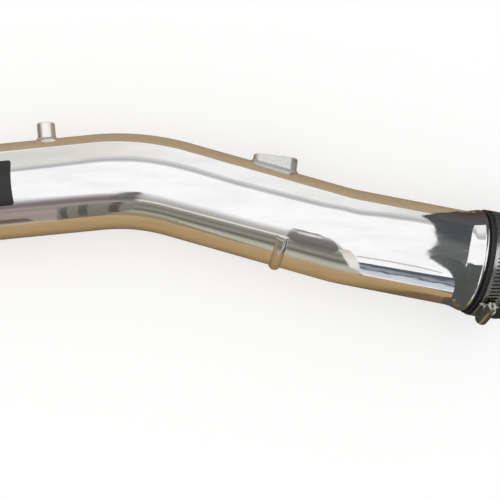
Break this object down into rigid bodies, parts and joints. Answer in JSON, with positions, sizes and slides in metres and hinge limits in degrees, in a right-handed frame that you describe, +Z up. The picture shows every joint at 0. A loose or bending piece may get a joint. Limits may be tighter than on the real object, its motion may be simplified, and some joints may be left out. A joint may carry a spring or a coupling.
{
  "type": "cold air intake pipe",
  "caption": "Bent polished air intake pipe with a hose nipple, sensor pad, support rib and bare label, and a rubber coupling held by a worm-drive clamp.",
  "frame": {"origin": "on the floor, under the middle of the part's box as it lies", "axes": "+X along the pipe from its open end to the coupling, +Y towards the nipple and the sensor pad, +Z up from the floor"},
  "size_m": [0.5308, 0.1604, 0.0842],
  "materials": {
    "polished_aluminium": "mirror polished",
    "machined_aluminium": "satin, as machined",
    "weld_metal": "as welded",
    "label_film": "satin film",
    "black_rubber": "moulded",
    "stainless_strip": "rolled",
    "plated_steel": "zinc plated"
  },
  "bodies": {
    "root": {"intake_pipe": "polished_aluminium", "breather_nipple": "polished_aluminium", "nipple_weld": "weld_metal", "sensor_pad": "machined_aluminium", "pad_weld": "weld_metal", "support_rib": "polished_aluminium", "label": "label_film", "rubber_coupling": "black_rubber", "clamp_band": "stainless_strip", "clamp_housing": "stainless_strip", "clamp_screw": "plated_steel"}
  },
  "joints": []
}
